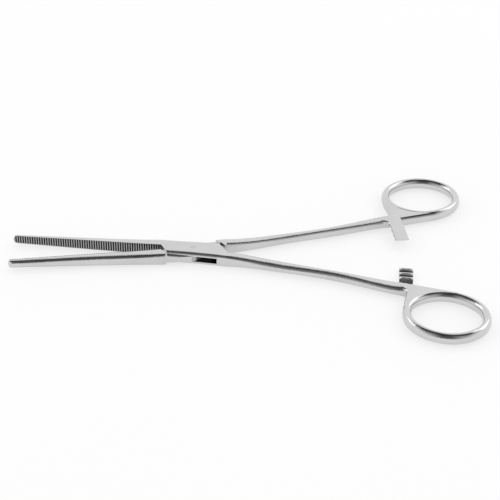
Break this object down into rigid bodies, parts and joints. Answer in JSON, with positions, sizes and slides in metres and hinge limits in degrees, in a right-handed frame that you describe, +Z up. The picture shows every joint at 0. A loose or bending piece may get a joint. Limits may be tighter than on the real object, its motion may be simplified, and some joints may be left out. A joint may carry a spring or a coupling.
{
  "type": "hemostat forceps",
  "caption": "Straight locking hemostat forceps with serrated jaws, a box-lock hinge, ratchet bars and oval finger rings.",
  "frame": {"origin": "on the pivot axis, in the plane of the box's underside that the instrument lies on", "axes": "+X along the instrument from the jaws to the finger rings, +Z up along the pivot axis"},
  "size_m": [0.1953, 0.1156, 0.0056],
  "materials": {
    "satin_steel": "satin stainless steel on the flats, polished on the rings and rounded sides",
    "pin_steel": "stainless steel rivet ground flush with the satin box faces"
  },
  "bodies": {
    "box_arm": {"box_half": "satin_steel", "pivot_pin": "pin_steel"},
    "tongue_arm": {"tongue_half": "satin_steel"}
  },
  "joints": [
    {"name": "box_lock", "type": "hinge", "parent": "box_arm", "child": "tongue_arm", "pos_m": [0, 0, 0.0028], "axis": [0, 0, 1], "range_deg": [-12.6, 47.4]}
  ]
}
